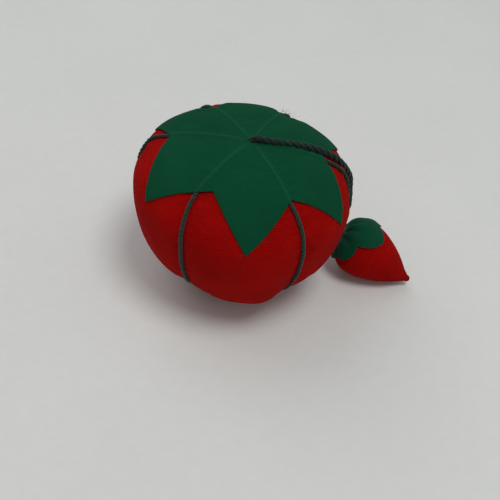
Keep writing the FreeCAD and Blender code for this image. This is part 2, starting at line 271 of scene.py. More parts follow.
def ramp_node(nt, fac, stops):
    n = nt.nodes.new("ShaderNodeValToRGB")
    e = n.color_ramp.elements
    while len(e) < len(stops):
        e.new(0.5)
    for k, (pos, col) in enumerate(stops):
        e[k].position = pos
        e[k].color = (*col, 1.0)
    nt.links.new(fac, n.inputs["Fac"])
    return n.outputs["Color"]


def mix_color(nt, fac, a, b, blend="MIX"):
    n = nt.nodes.new("ShaderNodeMix")
    n.data_type = "RGBA"
    n.blend_type = blend
    n.clamp_factor = True
    for sock, x in ((n.inputs[0], fac), (n.inputs[6], a), (n.inputs[7], b)):
        if isinstance(x, (int, float)):
            sock.default_value = x
        elif isinstance(x, tuple):
            sock.default_value = (*x, 1.0)
        else:
            nt.links.new(x, sock)
    return n.outputs[2]


def bump_node(nt, height, strength, distance, normal=None):
    n = nt.nodes.new("ShaderNodeBump")
    n.inputs["Strength"].default_value = strength
    n.inputs["Distance"].default_value = distance
    nt.links.new(height, n.inputs["Height"])
    if normal is not None:
        nt.links.new(normal, n.inputs["Normal"])
    return n.outputs["Normal"]


def woven(name, light, dark, pitch_u, pitch_v, rough=0.86, sheen=0.25, sheen_tint=(1, 1, 1), depth=0.00010,
          slub=0.5, rib=0.75, fuzz=0.35, worn=None, painted_ridge_highlight=None):
    """Plain weave read from the Weave UV map, which is in metres along both threads."""
    m, nt, bsdf = new_material(name)
    uv = nt.nodes.new("ShaderNodeUVMap")
    uv.uv_map = "Weave"
    sep = nt.nodes.new("ShaderNodeSeparateXYZ")
    nt.links.new(uv.outputs["UV"], sep.inputs["Vector"])
    co = nt.nodes.new("ShaderNodeTexCoord")
    # threads wander a little
    wander = noise_node(nt, co.outputs["Object"], 160.0, 2.0)
    wob = math_node(nt, "MULTIPLY", math_node(nt, "SUBTRACT", wander, 0.5), 1.1)
    u = math_node(nt, "ADD", math_node(nt, "MULTIPLY", sep.outputs["X"], 2 * PI / pitch_u), wob)
    v = math_node(nt, "ADD", math_node(nt, "MULTIPLY", sep.outputs["Y"], 2 * PI / pitch_v), wob)
    su, sv = math_node(nt, "SINE", u), math_node(nt, "SINE", v)
    hu, hv = (math_node(nt, "SINE", math_node(nt, "MULTIPLY", u, 0.5)),
              math_node(nt, "SINE", math_node(nt, "MULTIPLY", v, 0.5)))
    over = math_node(nt, "MULTIPLY", hu, hv)                       # which thread is on top
    warp = math_node(nt, "MULTIPLY", math_node(nt, "ABSOLUTE", hu), 1.0)
    weft = math_node(nt, "MULTIPLY", math_node(nt, "ABSOLUTE", hv), 1.0)
    height = math_node(nt, "ADD", math_node(nt, "MULTIPLY", weft, rib),
                       math_node(nt, "MULTIPLY", warp, 1 - rib))
    height = math_node(nt, "ADD", height, math_node(nt, "MULTIPLY", over, 0.18))
    fine = noise_node(nt, co.outputs["Object"], 5200.0, 2.0, 0.7)
    height2 = math_node(nt, "ADD", height, math_node(nt, "MULTIPLY", fine, fuzz))
    # thicker and thinner threads, long along each rib
    stretch = nt.nodes.new("ShaderNodeMapping")
    stretch.inputs["Scale"].default_value = (120.0, 1500.0, 1.0)
    nt.links.new(uv.outputs["UV"], stretch.inputs["Vector"])
    slubs = noise_node(nt, stretch.outputs["Vector"], 1.0, 2.0, 0.6)
    blot = noise_node(nt, co.outputs["Object"], 70.0, 4.0, 0.55)
    # colour: painted shade in the hollows between threads, from the weave height, together with the cloth's own thicker
    # and thinner threads and blotchy tone
    shade = math_node(nt, "ADD", math_node(nt, "MULTIPLY", height, 0.55),
                      math_node(nt, "ADD", math_node(nt, "MULTIPLY", slubs, slub),
                                math_node(nt, "MULTIPLY", blot, 0.45)))
    col = ramp_node(nt, math_node(nt, "MULTIPLY", shade, 0.62, True), [(0.22, dark), (0.74, light)])
    if worn is not None:
        w = noise_node(nt, co.outputs["Object"], 420.0, 5.0, 0.75)
        w = math_node(nt, "MULTIPLY", math_node(nt, "SUBTRACT", w, 0.60), 5.0, True)
        w2 = noise_node(nt, co.outputs["Object"], 45.0, 2.0, 0.5)
        w2 = math_node(nt, "MULTIPLY", math_node(nt, "SUBTRACT", w2, 0.42), 3.0, True)
        col = mix_color(nt, math_node(nt, "MULTIPLY", math_node(nt, "MULTIPLY", w, w2), 0.35), col, worn)
    # painted highlight along the ridge tops, from a point attribute of the mesh, mixed over the cloth colour
    if painted_ridge_highlight is not None:
        a = nt.nodes.new("ShaderNodeAttribute")
        a.attribute_name = "painted_ridge_highlight"
        g = math_node(nt, "MULTIPLY", a.outputs["Fac"], noise_node(nt, co.outputs["Object"], 900.0, 3.0, 0.7))
        col = mix_color(nt, math_node(nt, "MULTIPLY", g, 0.30), col, painted_ridge_highlight)
    nt.links.new(col, bsdf.inputs["Base Color"])
    bsdf.inputs["Roughness"].default_value = rough
    bsdf.inputs["Specular IOR Level"].default_value = 0.03
    bsdf.inputs["Sheen Weight"].default_value = sheen
    bsdf.inputs["Sheen Roughness"].default_value = 0.45
    bsdf.inputs["Sheen Tint"].default_value = (*sheen_tint, 1.0)
    nt.links.new(bump_node(nt, height2, 0.9, depth), bsdf.inputs["Normal"])
    return m


def cord_material(name, light, dark, strands=5.0, rough=0.85, sheen=0.35, fleck=(0.20, 0.24, 0.22)):
    """Fibres that run slantwise round each strand, read from the Weave UV map."""
    m, nt, bsdf = new_material(name)
    uv = nt.nodes.new("ShaderNodeUVMap")
    uv.uv_map = "Weave"
    sep = nt.nodes.new("ShaderNodeSeparateXYZ")
    nt.links.new(uv.outputs["UV"], sep.inputs["Vector"])
    co = nt.nodes.new("ShaderNodeTexCoord")
    slant = math_node(nt, "ADD", math_node(nt, "MULTIPLY", sep.outputs["X"], 2 * PI * strands),
                      math_node(nt, "MULTIPLY", sep.outputs["Y"], -2 * PI * 0.55 * 1.0))
    wob = noise_node(nt, co.outputs["Object"], 900.0, 2.0)
    slant = math_node(nt, "ADD", slant, math_node(nt, "MULTIPLY", wob, 5.0))
    fib = math_node(nt, "ADD", math_node(nt, "MULTIPLY", math_node(nt, "SINE", slant), 0.5), 0.5)
    fine = noise_node(nt, co.outputs["Object"], 6500.0, 3.0, 0.7)
    h = math_node(nt, "ADD", math_node(nt, "MULTIPLY", fib, 0.7), math_node(nt, "MULTIPLY", fine, 0.6))
    col = ramp_node(nt, math_node(nt, "MULTIPLY", h, 0.75, True), [(0.15, dark), (0.9, light)])
    fl = math_node(nt, "MULTIPLY", math_node(nt, "SUBTRACT", noise_node(nt, co.outputs["Object"], 2600.0, 4.0, 0.8), 0.585), 7.0, True)
    col = mix_color(nt, math_node(nt, "MULTIPLY", fl, 0.45), col, fleck)
    nt.links.new(col, bsdf.inputs["Base Color"])
    bsdf.inputs["Roughness"].default_value = rough
    bsdf.inputs["Specular IOR Level"].default_value = 0.08
    bsdf.inputs["Sheen Weight"].default_value = sheen
    bsdf.inputs["Sheen Roughness"].default_value = 0.4
    bsdf.inputs["Sheen Tint"].default_value = (0.75, 0.85, 0.8, 1.0)
    nt.links.new(bump_node(nt, h, 0.7, 0.00010), bsdf.inputs["Normal"])
    return m


def grit_material(name, light, dark, scale):
    m, nt, bsdf = new_material(name)
    co = nt.nodes.new("ShaderNodeTexCoord")
    a = noise_node(nt, co.outputs["Object"], scale, 5.0, 0.75)
    col = ramp_node(nt, a, [(0.35, dark), (0.65, light)])
    nt.links.new(col, bsdf.inputs["Base Color"])
    bsdf.inputs["Roughness"].default_value = 0.95
    nt.links.new(bump_node(nt, a, 0.6, 0.0003), bsdf.inputs["Normal"])
    return m


RED_L, RED_D = (0.53, 0.0046, 0.0032), (0.155, 0.0011, 0.0008)
red_cloth = woven("red_cotton", RED_L, RED_D, 0.00058, 0.00056, rough=0.9, sheen=0.02,
                  sheen_tint=(1.0, 0.35, 0.3), depth=0.00016, slub=0.40)
berry_cloth = woven("red_cotton_strawberry", RED_L, RED_D, 0.00056, 0.00054, rough=0.9, sheen=0.02,
                    sheen_tint=(1.0, 0.35, 0.3), depth=0.00016, slub=0.40)
green_cloth = woven("green_cloth", (0.0066, 0.098, 0.044), (0.0022, 0.046, 0.020), 0.00034, 0.00034, rough=0.95,
                    sheen=0.03, sheen_tint=(0.6, 0.85, 0.75), depth=0.00005, slub=0.25, rib=0.5, fuzz=0.9,
                    worn=(0.055, 0.15, 0.095), painted_ridge_highlight=(0.045, 0.16, 0.10))
cut_edge = woven("green_cut_edge", (0.030, 0.060, 0.030), (0.016, 0.030, 0.016), 0.0003, 0.0003, rough=0.95,
                 sheen=0.1, depth=0.00004)
cap_cloth = woven("green_cap", (0.0060, 0.088, 0.043), (0.0026, 0.050, 0.024), 0.00034, 0.00034, rough=0.8,
                  sheen=0.12, sheen_tint=(0.6, 0.9, 0.8), depth=0.00005, slub=0.25, rib=0.5, fuzz=0.6)
lace_mat = cord_material("lacing_cord", (0.044, 0.074, 0.058), (0.007, 0.018, 0.013), 4.0)
hang_mat = cord_material("hanging_cord", (0.028, 0.054, 0.042), (0.004, 0.011, 0.0085), 5.0)
fibre_mat = cord_material("stray_fibre", (0.16, 0.19, 0.17), (0.05, 0.07, 0.06), 2.0)
sawdust = grit_material("sawdust", (0.72, 0.52, 0.30), (0.42, 0.27, 0.13), 900.0)
emery = grit_material("emery", (0.16, 0.15, 0.15), (0.03, 0.03, 0.03), 1500.0)
thread_mat = grit_material("sewing_thread", (0.30, 0.006, 0.005), (0.11, 0.002, 0.0015), 3000.0)

# ------------------------------------------------------------------ the cushion's shape, as designed
TOMATO_R, Z_WIDEST, DOME_H, BELLY_H = 36.0, 38.5, 16.74, 40.46
CORD_AZ = np.radians([-116.5, -53.1, 4.2, 70.0, 125.2, 178.6])
DEPTH_T = [(0.0, 0.45), (0.35, 0.70), (0.9, 0.42), (1.25, 0.52), (1.57, 0.8), (2.1, 1.6), (2.5, 2.9), (2.8, 4.2), (3.1416, 4.2)]


def crest(t):
    s, c = np.sin(t), np.cos(t)
    top = t < PI / 2
    s = np.maximum(s, 1e-9)
    r = np.where(top, TOMATO_R * s ** 0.824, TOMATO_R * s ** 0.917)
    z = np.where(top, Z_WIDEST + DOME_H * np.abs(c) ** 1.004 - 1.7 * np.exp(-(r / 4.6) ** 2),
                 Z_WIDEST - BELLY_H * np.abs(c) ** 0.972 + 6.0 * np.exp(-(r / 5.0) ** 2))
    return r, z


def crest_normal(t):
    h = 0.004
    r0, z0 = crest(t - h)
    r1, z1 = crest(t + h)
    d = np.hypot(r1 - r0, z1 - z0)
    return -(z1 - z0) / d, (r1 - r0) / d


def groove_depth(t):
    out = np.full_like(t, DEPTH_T[-1][1])
    for (a, da), (b, db) in zip(DEPTH_T, DEPTH_T[1:]):
        k = np.clip((t - a) / (b - a), 0, 1)
        k = k * k * (3 - 2 * k)
        out = np.where((t >= a) & (t <= b), da + (db - da) * k, out)
    return out


# how far each lacing cord lies aside of its own azimuth, in degrees, against t
CORD_SWAY = [
    [(0.3, -2.6), (0.75, -2.8), (0.88, -2.1), (1.05, -0.7), (1.24, 0.4), (1.55, 1.4), (1.8, 1.4), (2.1, 0.9), (2.3, -0.4), (2.6, -0.4)],
    [(0.3, -1.2), (0.69, -1.5), (0.8, -0.8), (1.09, 0.0), (1.4, -0.5), (1.67, 0.4), (1.83, 1.5), (2.1, 3.2), (2.3, 4.2), (2.6, 3.0)],
    [(0.3, -0.4), (0.69, 0.0), (0.8, 1.4), (1.0, 0.8), (1.15, -0.6), (1.4, -1.2), (2.6, 0.0)],
    [(0.3, 0.6), (1.2, -0.8), (2.6, 0.4)],
    [(0.3, 0.0), (0.65, 2.0), (0.95, 2.2), (1.6, 0.6), (2.6, -0.3)],
    [(0.3, -1.0), (0.69, -2.2), (0.9, -3.9), (1.15, -3.9), (1.35, -2.2), (1.7, -0.4), (2.6, 0.4)],
]


def cord_at(k, t):
    """Azimuth of lacing cord k at t."""
    x, y = zip(*CORD_SWAY[k])
    # eased between the given places
    tt = np.linspace(0, PI, 400)
    v = np.interp(tt, x, y)
    w = np.hanning(41)
    v = np.convolve(np.pad(v, 20, mode="edge"), w / w.sum(), "valid")
    return CORD_AZ[k] + np.radians(np.interp(t, tt, v))


def cord_offsets(az, t):
    """Signed angle to each lacing cord, on a last axis of six."""
    c = np.stack([cord_at(k, t) for k in range(6)], -1)
    return (az[..., None] - c + PI) % (2 * PI) - PI


def cord_gap(az, t):
    """Angle to the nearest lacing cord."""
    return np.abs(cord_offsets(az, t)).min(-1)


def groove(az, t):
    r, _ = crest(t)
    d = cord_gap(az, t)
    fade = np.clip((r - 2.6) / 2.2, 0, 1)
    g = np.maximum(np.exp(-(d / 0.285) ** 1.3) - 0.11, 0) / 0.89
    return groove_depth(t) * g * fade + shoulder_flat(az, t) - outline_trim(az, t)


def outline_trim(az, t):
    """Each lobe is stuffed a little differently: height above the design, mm."""
    out = 0.0
    for h, c, wa, tc, wt in ((0.75, 174.0, 0.20, 1.00, 0.17), (0.65, 128.0, 0.22, 0.78, 0.18),
                             (-0.42, 50.0, 0.50, 0.95, 0.30), (-0.38, -4.0, 0.24, 1.42, 0.18)):
        d = (az - math.radians(c) + PI) % (2 * PI) - PI
        out = out + h * np.exp(-(d / wa) ** 2 - ((t - tc) / wt) ** 2)
    return out


def shoulder_flat(az, t):
    """The right-hand lobe is a little flatter on both sides, where the hanging cord lies against it."""
    w = smoothstep(0.95, 1.30, t) * (1 - smoothstep(1.75, 2.20, t))
    out = 0.0
    for c in (10.0, 62.0):
        d = (az - math.radians(c) + PI) % (2 * PI) - PI
        out = out + np.exp(-(d / 0.35) ** 2)
    return 1.2 * out * w


def bite(az, t):
    """The narrow line where the lacing cord itself presses into the cloth."""
    r, _ = crest(t)
    d = cord_gap(az, t) * r
    fade = np.clip((r - 3.5) / 4.0, 0, 1)
    return 0.30 * np.exp(-(d / 1.05) ** 2) * fade


def place(az, t, off):
    """Point at height off (mm) above the crest surface; result in mm."""
    r, z = crest(t)
    nr, nz = crest_normal(t)
    rr, zz = r + nr * off, z + nz * off
    return np.stack([rr * np.cos(az), rr * np.sin(az), zz], -1)


def arc_at(t_values):
    tt = np.linspace(0.02, PI - 0.02, 1500)
    r, z = crest(tt)
    s = np.concatenate([[0], np.cumsum(np.hypot(np.diff(r), np.diff(z)))])
    return np.interp(t_values, tt, s)


# ------------------------------------------------------------------ cloth simulation of the cover
def columns(per_lobe, power=1.35):
    """Azimuths, closer together beside the cords."""
    out = []
    for i in range(6):
        a, b = CORD_AZ[i], CORD_AZ[(i + 1) % 6]
        if b < a:
            b += 2 * PI
        k = np.arange(per_lobe) / per_lobe
        w = k - 0.10 * power * np.sin(2 * PI * k) / (2 * PI) * 2.4
        out.append(a + (b - a) * w)
    return np.concatenate(out)


T_IN, T_OUT = 0.045, PI - 0.075


def row_ts(n):
    s = np.linspace(0, 1, n)
    w = s - 0.45 * np.sin(2 * PI * s) / (2 * PI)
    return T_IN + (T_OUT - T_IN) * w


def grid_faces(nc, nr):
    i, j = np.meshgrid(np.arange(nr - 1), np.arange(nc), indexing="ij")
    j2 = (j + 1) % nc
    return np.stack([i * nc + j, (i + 1) * nc + j, (i + 1) * nc + j2, i * nc + j2], -1).reshape(-1, 4), i.ravel(), j.ravel()


def simulate_cover():
    """Cotton laced over a firm filling: the cords and gathers hold it, pressure swells it between them.
    Returns the wrinkles that this leaves, in mm along the normal, on a (row, column) grid."""
    nc, nr, k = 22 * 6, 64, 10.0
    az, tt = columns(22), row_ts(nr)
    A, T = np.meshgrid(az, tt)
    p = place(A, T, -groove(A, T) - bite(A, T) - 0.25)
    start = p.reshape(-1, 3) * MM * k
    f, _, _ = grid_faces(nc, nr)
    ob = mesh_object("sim_cover", start, f)
    r = crest(T)[0]
    hold = np.exp(-(cord_gap(A, T) * r / 2.2) ** 2)
    hold = np.maximum(hold, np.exp(-((r - 2.0) / 3.0) ** 2))
    hold = np.clip(hold, 0.0, 1.0).reshape(-1)
    hold[hold < 0.06] = 0.0
    vg = ob.vertex_groups.new(name="hold")
    for i in np.nonzero(hold)[0]:
        vg.add([int(i)], float(hold[i]), "REPLACE")
    mod = ob.modifiers.new("cloth", "CLOTH")
    cs = mod.settings
    cs.quality = 5
    cs.mass = 0.25
    cs.tension_stiffness = cs.compression_stiffness = 40.0
    cs.shear_stiffness = 8.0
    cs.bending_stiffness = 0.6
    cs.use_pressure = True
    cs.uniform_pressure_force = 4.0
    cs.shrink_min = -0.035
    cs.vertex_group_mass = "hold"
    cs.pin_stiffness = 1.0
    cs.effector_weights.gravity = 0.0
    mod.collision_settings.use_self_collision = False
    for fr in range(1, 21):
        scene.frame_set(fr)
    dg = bpy.context.evaluated_depsgraph_get()
    ev = ob.evaluated_get(dg)
    end = np.array([v.co for v in ev.data.vertices], float)
    scene.frame_set(1)
    bpy.data.objects.remove(ob)
    nrm = unit(place(A, T, 1.0) - place(A, T, 0.0))
    d = (((end - start) / (MM * k)).reshape(nr, nc, 3) * nrm).sum(-1)
    # the overall swelling is taken off, so that the cushion keeps its designed size
    broad = d.copy()
    for _ in range(14):
        broad = (np.roll(broad, 1, 1) + np.roll(broad, -1, 1) + 2 * broad) / 4
        up, dn = np.vstack([broad[:1], broad[:-1]]), np.vstack([broad[1:], broad[-1:]])
        broad = (up + dn + 2 * broad) / 4
    w = d - broad
    print("cloth: swelling %.2f mm mean, wrinkles rms %.3f mm" % (broad.mean(), w.std()))
    return az, tt, w


def wrap_interp(az, tt, w, A, T):
    """w on (tt, az) read at the points (A, T)."""
    order = np.argsort(az % (2 * PI))
    a = (az % (2 * PI))[order]
    ww = w[:, order]
    a = np.concatenate([a - 2 * PI, a, a + 2 * PI])
    ww = np.concatenate([ww, ww, ww], 1)
    x = np.interp(A % (2 * PI), a, np.arange(len(a)))
    y = np.interp(T, tt, np.arange(len(tt)))
    x0, y0 = np.floor(x).astype(int), np.floor(y).astype(int)
    x1, y1 = np.minimum(x0 + 1, len(a) - 1), np.minimum(y0 + 1, len(tt) - 1)
    fx, fy = x - x0, y - y0
    return (ww[y0, x0] * (1 - fx) * (1 - fy) + ww[y0, x1] * fx * (1 - fy)
            + ww[y1, x0] * (1 - fx) * fy + ww[y1, x1] * fx * fy)


sim = simulate_cover()


def wrinkles(A, T, gathers=1.0):
    """Fine unevenness of the cloth, in mm: the simulated wrinkles, then puckers at the cords and gathers."""
    r, z = crest(T)
    out = np.zeros_like(A)
    if sim is not None:
        out = out + np.clip(wrap_interp(*sim, A, T) * 1.0, -0.22, 0.30)
    q = np.stack([r * np.cos(A) / 7.0, r * np.sin(A) / 7.0, z / 7.0], -1).reshape(-1, 3)
    out = out + 0.09 * value_noise(q, 3).reshape(A.shape)
    # the cloth is drawn together by the lacing: short puckers run away from each cord
    d = cord_offsets(A, T)
    near = np.take_along_axis(d, np.abs(d).argmin(-1)[..., None], -1)[..., 0] * r
    s = arc_at(T)
    pq = np.stack([s / 2.1, near / 9.0, np.sign(near) * 5.0 + np.abs(d).argmin(-1) * 3.3], -1).reshape(-1, 3)
    puck = value_noise(pq, 11).reshape(A.shape)
    fall = np.exp(-(np.abs(near) / 4.2) ** 1.5) * smoothstep(0.5, 1.8, np.abs(near))
    out = out + 0.11 * puck * fall * (0.6 + 0.7 * smoothstep(1.7, 2.5, T))
    # pleats into the gathers
    k = smoothstep(15.0, 4.0, r)
    pl = np.sin(A * 29 + 1.6 * value_noise(np.stack([A * 2.2, T, A * 0], -1).reshape(-1, 3), 4).reshape(A.shape))
    out = out + 0.42 * pl * k * smoothstep(2.4, 4.5, r) * gathers
    # the front lobe sags a little fuller towards the table, on its right
    d = (A - math.radians(-67.0) + PI) % (2 * PI) - PI
    out = out + 1.35 * np.exp(-(d / 0.22) ** 2 - ((T - 2.20) / 0.28) ** 2)
    return out


def cover_height(A, T):
    return -groove(A, T) - bite(A, T) + wrinkles(A, T)


def make_cover():
    az = columns(46)
    tt = row_ts(150)
    nc, nr = len(az), len(tt)
    A, T = np.meshgrid(az, tt)
    p = place(A, T, cover_height(A, T))
    z = p[..., 2]
    soft = 0.12
    low = 0.5 * (z + np.sqrt(z * z + soft * soft))
    p[..., 2] = np.where(z < 1.5, low, z)
    f, fi, fj = grid_faces(nc, nr)
    s = arc_at(tt)
    around = TOMATO_R * np.concatenate([az, [az[0] + 2 * PI]])
    u0, u1, v0, v1 = around[fj] * MM, around[fj + 1] * MM, s[fi] * MM, s[fi + 1] * MM
    uv = np.stack([np.stack([u0, v0], -1), np.stack([u0, v1], -1), np.stack([u1, v1], -1), np.stack([u1, v0], -1)], 1)
    ob = mesh_object("tomato_cloth", p.reshape(-1, 3) * MM, f, uv.reshape(-1, 2), True, [red_cloth])
    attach(ob, "tomato")
    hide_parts("tomato_cover")
    return ob


# ------------------------------------------------------------------ lacing cords
LACE_R = 0.65


def make_laces():
    names = ["front_left", "front_right", "right", "back_right", "back_left", "left"]
    for n, (name, az) in enumerate(zip(names, CORD_AZ)):
        t = np.linspace(0.16, PI - 0.155, 260)
        a = np.full_like(t, az)
        # the cord wanders a hair from side to side in its groove
        r, _ = crest(t)
        sway = 0.10 * value_noise(np.stack([t * 2.2, a * 0 + n * 5.0, a * 0], -1), 21) * smoothstep(6, 16, r)
        a = cord_at(n, t) + sway / np.maximum(r, 5)
        floor = -groove(a, t) - bite(a, t)
        p = place(a, t, floor + 0.50)
        p[:, 2] = np.maximum(p[:, 2], 0.72)
        ends = p[0], p[-1]
        lead = np.array([[2.0 * math.cos(az), 2.0 * math.sin(az), ends[0][2] - 1.1]])
        tail = np.array([[2.3 * math.cos(az), 2.3 * math.sin(az), 1.6]])
        line = np.concatenate([lead, p, tail]) * MM
        ob, _ = rope("lacing_cord_" + name, line, LACE_R * MM, 3, 0.0046, [lace_mat],
                     first=(-math.sin(az), math.cos(az), 0), step=0.00030, ring=9, seed=30 + n, phase=0.7 * n,
                     ply_share=0.54)
        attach(ob, "tomato")
        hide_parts("segment_cord_" + name)


# ------------------------------------------------------------------ calyx
CALYX = [(-141.8, 1.32), (-109.4, 0.655), (-82.8, 1.427), (-53.6, 0.695), (-27.3, 1.358), (8.2, 0.622),
         (35.0, 1.345), (66.0, 0.645), (95.0, 1.38), (127.2, 0.625), (156.0, 1.38), (176.9, 0.705)]
# how far the middle of each side lies inside the straight cut, mm
CALYX_BOW = [0.8, 0.0, -0.45, 1.45, 0.0, 0.2, 0.3, 0.2, 0.2, 0.3, 0.2, 0.5]
CALYX_T = 0.36


def calyx_height(A, T):
    """Underside of the calyx above the crest surface, mm."""
    r, z = crest(T)
    d = cord_gap(A, T) * r
    ridge = 0.30 * np.exp(-(d / 0.80) ** 2) * smoothstep(1.0, 6.0, r)
    h = -0.34 * groove(A, T) + 0.66 * outline_trim(A, T) + 0.17 + ridge + 0.7 * wrinkles(A, T, 0.0) * smoothstep(4.0, 9.0, r)
    q = np.stack([r * np.cos(A) / 5.0, r * np.sin(A) / 5.0, z / 5.0], -1).reshape(-1, 3)
    h = h + 0.05 * value_noise(q, 17).reshape(A.shape)
    # it spans the dip in the crown
    return h + 1.45 * np.exp(-(r / 4.5) ** 2)


def calyx_edge():
    """(azimuth, t) round the star's outline: each side runs straight over the dome."""
    apex = np.array([0.0, 0.0, Z_WIDEST - 14.0])
    az, te, tip = [], [], []
    pts = [place(np.array(math.radians(a)), np.array(t), np.array(0.3)) for a, t in CALYX]
    for i in range(12):
        a0, t0 = CALYX[i]
        a1, t1 = CALYX[(i + 1) % 12]
        if a1 < a0:
            a1 += 360
        n = np.cross(pts[i] - apex, pts[(i + 1) % 12] - apex)
        m = 34
        for k in range(m):
            w = k / m
            w = w - 0.28 * math.sin(2 * PI * w) / (2 * PI)
            a = math.radians(a0 + (a1 - a0) * w)
            lo, hi = 0.2, 1.75
            f_lo = float(n @ (place(np.array(a), np.array(lo), np.array(0.3)) - apex))
            for _ in range(40):
                mid = (lo + hi) / 2
                fm = float(n @ (place(np.array(a), np.array(mid), np.array(0.3)) - apex))
                if fm * f_lo > 0:
                    lo = mid
                else:
                    hi = mid
            az.append(a)
            te.append(((lo + hi) / 2 if k else t0) - CALYX_BOW[i] / 33.0 * 4 * w * (1 - w))
            tip.append(k == 0 and t0 > 1.0)
    return np.array(az), np.array(te)


def make_calyx():
    az, te = calyx_edge()
    # scissors leave the edge a little uneven
    wob = value_noise(np.stack([np.cos(az) * 14, np.sin(az) * 14, te * 0], -1), 41)
    te = te + 0.004 * wob
    nc, nr = len(az), 70
    t_in = 0.0155
    s = np.linspace(0, 1, nr)
    s = s + 0.25 * np.sin(PI * s) * (1 - s) * 0.5
    s = (s - s[0]) / (s[-1] - s[0])
    T = t_in + (te[None, :] - t_in) * s[:, None]
    A = np.repeat(az[None, :], nr, 0)
    under = calyx_height(A, T)
    edge = smoothstep(0.0, 1.0, (te[None, :] - T) * 30.0 / 0.9)
    up = place(A, T, under + CALYX_T * (0.72 + 0.28 * edge))
    dn = place(A, T, under)
    # the hole for the hanging cord is pulled a little towards the side where the cord lies
    for q in (up, dn):
        q[..., :2] += np.array([0.45, 0.05]) * np.exp(-((q[..., 0] ** 2 + q[..., 1] ** 2) / 16.0))[..., None]
    n = nc * nr
    f_up, fi, fj = grid_faces(nc, nr)
    f_dn = f_up[:, ::-1] + n
    j = np.arange(nc)
    j2 = (j + 1) % nc
    rim = np.stack([(nr - 1) * nc + j, n + (nr - 1) * nc + j, n + (nr - 1) * nc + j2, (nr - 1) * nc + j2], -1)
    hole = np.stack([j, j2, n + j2, n + j], -1)
    verts = np.concatenate([up.reshape(-1, 3), dn.reshape(-1, 3)]) * MM
    # the cut's own flat threads, seen from above and let down over the dome
    sp = arc_at(T) - arc_at(np.array([0.02]))[0]
    fu, fv = sp * np.cos(A) * MM, sp * np.sin(A) * MM
    flat = np.stack([fu, fv], -1).reshape(-1, 2)
    both = np.concatenate([flat, flat])
    faces = np.concatenate([f_up, f_dn, rim, hole])
    uv = both[faces.reshape(-1)]
    mat = np.concatenate([np.zeros(len(f_up) * 2), np.ones(len(rim)), np.ones(len(hole))]).astype(int)
    ob = mesh_object("calyx_cloth", verts, faces, uv, True, [green_cloth, cut_edge], mat)
    # painted highlight: paler along the top of each ridge, where the light catches it
    r = crest(T)[0]
    painted_ridge_highlight = np.exp(-(cord_gap(A, T) * r / 0.45) ** 2) * smoothstep(2.0, 5.0, r)
    at = ob.data.attributes.new("painted_ridge_highlight", "FLOAT", "POINT")
    at.data.foreach_set("value", np.concatenate([painted_ridge_highlight.ravel(), painted_ridge_highlight.ravel()]).astype(np.float32))
    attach(ob, "tomato")
    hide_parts("calyx")
    # flat area of the cut
    tri = up.reshape(nr, nc, 3)
    a = tri[:-1]
    b = tri[1:]
    d1 = b - a
    d2 = np.roll(a, -1, 1) - a
    area = np.linalg.norm(np.cross(d1, d2), axis=-1).sum() * 1e-6
    print("calyx area m2", area)
    return ob


# ------------------------------------------------------------------ the hanging cord
def make_hanging_cord():
    ob, pts = rope("hanging_cord_rope", cord_line, CORD_D / 2 * 0.95, 3, 0.0072, [hang_mat],
                   first=(0, 1, 0), step=0.00022, ring=12, seed=8, ply_share=0.56, taper=(0.0012, 0.0))
    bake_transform(ob)
    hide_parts("hanging_cord_upper", "hanging_cord_lower")
    length = float(np.linalg.norm(np.diff(pts, axis=0), axis=1).sum())
    print("hanging cord length", length)
    return ob


# ------------------------------------------------------------------ strawberry
BERRY_R, BERRY_L, BLUNT = 10.15, 29.5, 0.25
POLE = np.array([37.26987, 9.3, 14.50879])
AXIS = np.array([0.8977046, -0.1615226, -0.409923])
AXIS = AXIS / np.linalg.norm(AXIS)
KNOT = np.array([35.1872, 9.6747, 15.4598])
SIDE = unit(np.cross([0.0, 0.0, 1.0], AXIS))      # to the strawberry's left, level
UPV = np.cross(AXIS, SIDE)                        # up its side, away from the table


def berry_profile(s):
    r1 = BERRY_R * np.sqrt(np.clip(1 - ((BLUNT - s) / BLUNT) ** 2, 0, 1)) ** 0.9
    u = np.clip((s - BLUNT) / (1 - BLUNT), 0, 1)
    r2 = BERRY_R * np.clip(1 - u ** 1.89, 0, 1) ** 0.93
    return np.where(s < BLUNT, r1, r2)


def berry_arc():
    s = (np.arange(0, 1200) / 1199.0)
    s = 0.5 - 0.5 * np.cos(PI * s)
    r, z = berry_profile(s), BERRY_L * s
    arc = np.concatenate([[0], np.cumsum(np.hypot(np.diff(r), np.diff(z)))])
    return s, r, z, arc


B_S, B_R, B_Z, B_ARC = berry_arc()


def berry_point(phi, arc, off):
    """Point of the strawberry: phi round its axis (0 = up), arc length from the blunt pole, height off (mm)."""
    r, z = np.interp(arc, B_ARC, B_R), np.interp(arc, B_ARC, B_Z)
    e = 0.12
    dr = np.interp(arc + e, B_ARC, B_R) - np.interp(arc - e, B_ARC, B_R)
    dz = np.interp(arc + e, B_ARC, B_Z) - np.interp(arc - e, B_ARC, B_Z)
    d = np.maximum(np.hypot(dr, dz), 1e-9)
    nr, nz = dz / d, -dr / d
    rr, zz = r + nr * off, z + nz * off
    rad = np.cos(phi)[..., None] * UPV + np.sin(phi)[..., None] * SIDE
    return POLE + rr[..., None] * rad + zz[..., None] * AXIS


